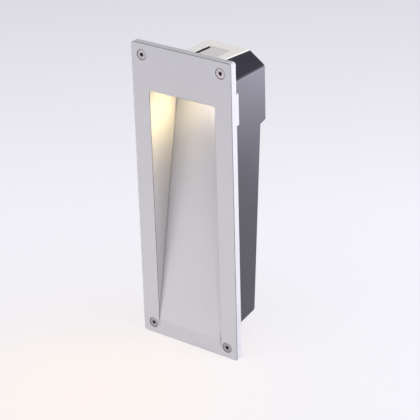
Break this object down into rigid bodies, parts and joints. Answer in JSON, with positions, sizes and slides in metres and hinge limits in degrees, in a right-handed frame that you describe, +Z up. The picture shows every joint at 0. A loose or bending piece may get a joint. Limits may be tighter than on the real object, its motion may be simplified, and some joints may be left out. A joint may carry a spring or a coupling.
{
  "type": "recessed wall light",
  "caption": "Upright rectangular wall light: a cast faceplate with a sloping recess lit from its ceiling, in front of a tapering black wall housing with a flap over its terminals.",
  "frame": {"origin": "the middle of the faceplate's outline, on the plane of the wall that the light is screwed to", "axes": "+X to the right seen from in front, +Y into the wall, +Z up"},
  "size_m": [0.1, 0.066, 0.27],
  "materials": {
    "casting": "fine-textured silver-grey powder coat",
    "foam": "matte closed-cell foam",
    "stainless": "satin stainless",
    "housing": "satin black moulding",
    "rubber": "matte black",
    "glass": "frosted",
    "plate": "plain sheet",
    "zinc": "bright zinc plate",
    "reflector": "glossy white",
    "white_board": "white solder mask",
    "chips": "yellow phosphor",
    "pad": "soft matte grey",
    "driver_shell": "matte white",
    "green_board": "green solder mask",
    "winding": "taped winding",
    "sleeve": "shrink sleeve",
    "terminal": "off-white moulding",
    "brass": "plain",
    "earth_sheath": "green and yellow",
    "mains_sheath": "brown and blue",
    "led_sheath": "red and black",
    "cover": "cream, low gloss",
    "flap": "light grey"
  },
  "bodies": {
    "luminaire": {"front_casting": "casting", "wall_seal": "foam", "corner_screws": "stainless", "housing_gasket": "rubber", "rear_housing": "housing", "housing_screws": "stainless", "screw_seals": "rubber", "window_gasket": "rubber", "light_window": "glass", "window_frame": "plate", "window_screws": "zinc", "reflector": "reflector", "led_board": "white_board", "led_chips": "chips", "thermal_pad": "pad", "heat_spreader": "plate", "spreader_screws": "zinc", "board_screws": "zinc", "driver_case": "driver_shell", "driver_cover": "driver_shell", "driver_board": "green_board", "driver_transformer": "winding", "driver_capacitors": "sleeve", "driver_screws": "zinc", "terminal_block": "terminal", "terminal_clamps": "brass", "terminal_screws": "zinc", "block_screws": "zinc", "earth_screw": "zinc", "ring_terminal": "brass", "earth_wire": "earth_sheath", "mains_wires": "mains_sheath", "led_wires": "led_sheath", "cable_grommet": "rubber", "cord_clamp": "terminal", "clamp_screws": "zinc", "cover_gasket": "rubber", "top_cover": "cover", "flap_pin": "zinc", "flap_seal": "rubber"},
    "flap": {"terminal_flap": "flap"}
  },
  "joints": [
    {"name": "flap_hinge", "type": "hinge", "parent": "luminaire", "child": "flap", "pos_m": [0.00941, 0.03037, 0.11997], "axis": [0, 0.999, -0.0436], "range_deg": [0, 90]}
  ]
}
